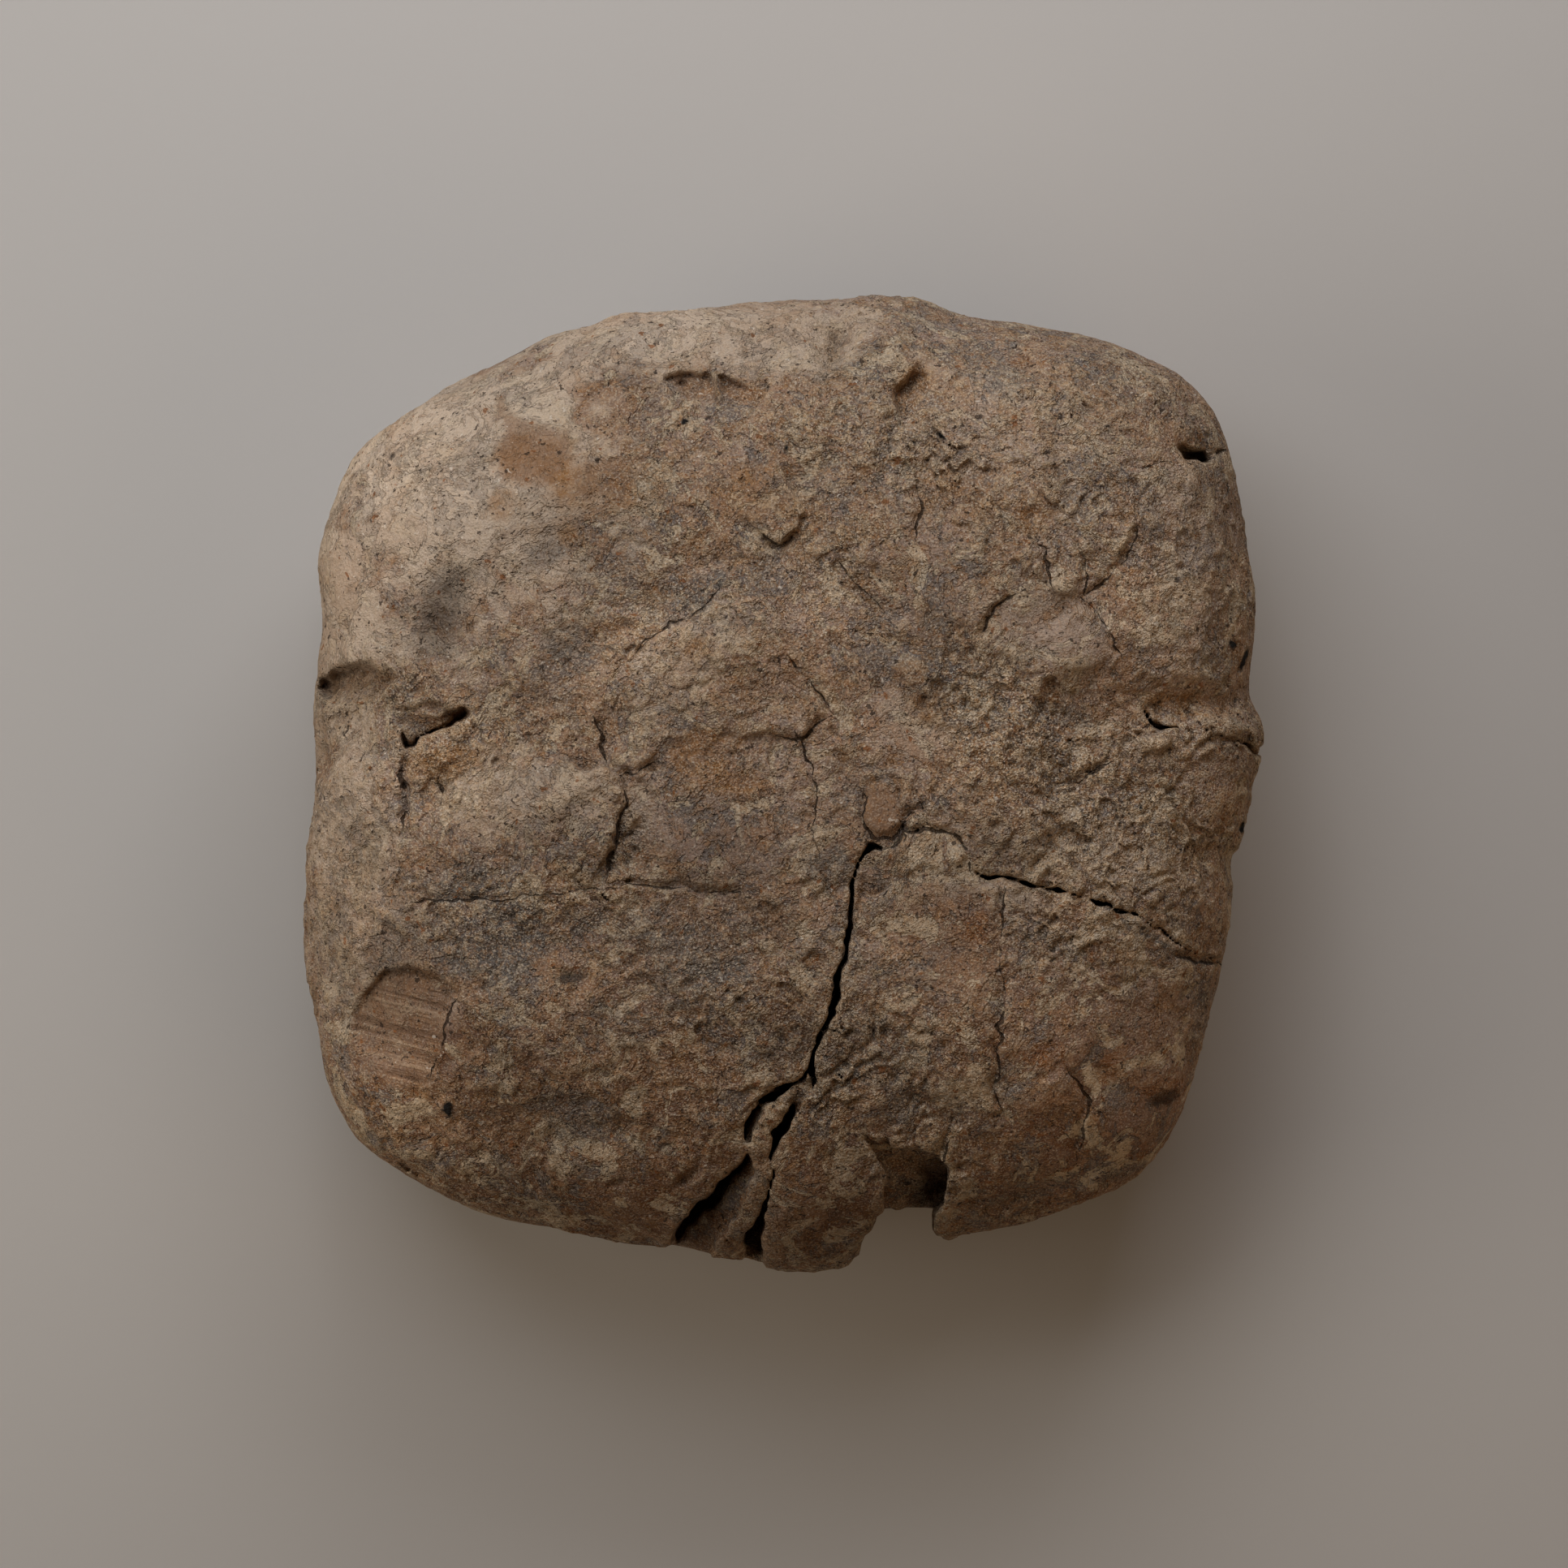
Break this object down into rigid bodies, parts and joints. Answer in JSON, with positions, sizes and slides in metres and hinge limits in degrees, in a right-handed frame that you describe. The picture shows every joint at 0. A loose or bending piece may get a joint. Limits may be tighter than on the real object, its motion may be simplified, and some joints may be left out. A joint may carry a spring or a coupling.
{
  "type": "cuneiform tablet",
  "caption": "Square, pillow-shaped clay tablet, worn and cracked, blank on the side that shows, lying on its back.",
  "frame": {"origin": "under the middle of the tablet, on the small flat of its back that it rests on", "axes": "+Z out of the worn face, +Y towards its upper edge, +X to its right"},
  "size_m": [0.0592, 0.0602, 0.0261],
  "materials": {
    "clay": "dry, matt, unglazed clay with dusty hollows"
  },
  "bodies": {
    "root": {"tablet": "clay"}
  },
  "joints": []
}
